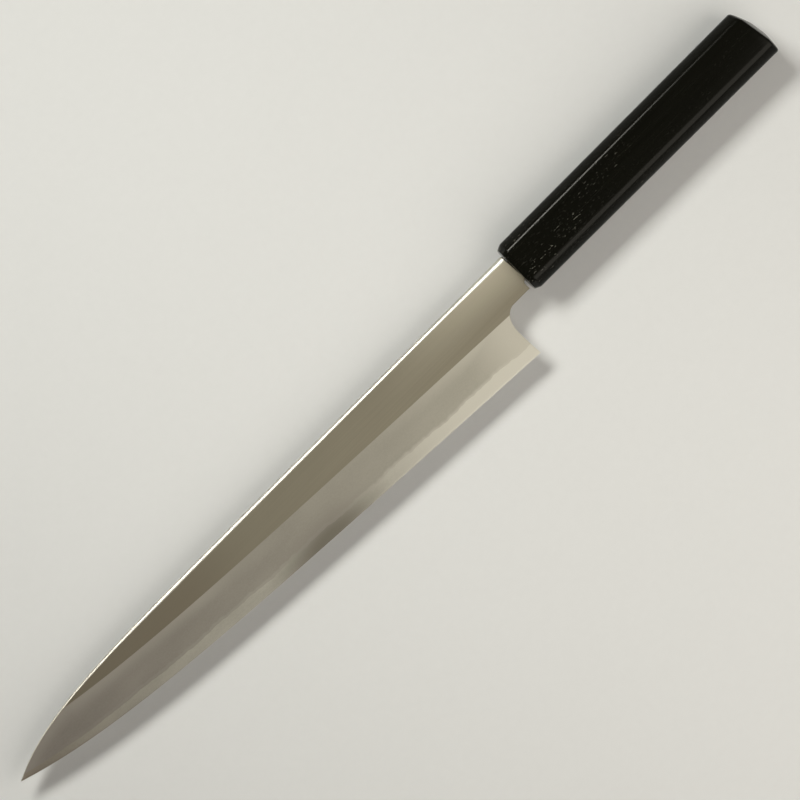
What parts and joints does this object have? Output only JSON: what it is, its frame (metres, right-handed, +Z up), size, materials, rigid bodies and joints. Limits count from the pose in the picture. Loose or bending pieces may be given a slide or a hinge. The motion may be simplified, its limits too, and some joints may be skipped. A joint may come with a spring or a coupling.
{
  "type": "slicing knife",
  "caption": "Long slender slicing knife with a laminated, wide-bevelled straight blade, a short necked heel and a faceted black lacquered wooden handle on a hidden tang.",
  "frame": {"origin": "middle of the bottom of the part's box, level with the lowest line of the handle's right side, with the knife lying on its right side", "axes": "+X runs along the knife from tip to butt, +Y from the cutting edge to the spine, +Z up, out of the left face of the blade"},
  "size_m": [0.4218, 0.0426, 0.02],
  "materials": {
    "core_steel": "stone-polished hard steel, bright along the edge",
    "cladding_steel": "hairline flats and hazy stone-finished bevels",
    "lacquered_wood": "satin black lacquer over open-pored wood",
    "bedding_resin": "dark cured resin, smooth where it shows"
  },
  "bodies": {
    "root": {"core_steel": "core_steel", "cladding_left": "cladding_steel", "cladding_right": "cladding_steel", "handle_body": "lacquered_wood", "tang_bedding": "bedding_resin"}
  },
  "joints": []
}
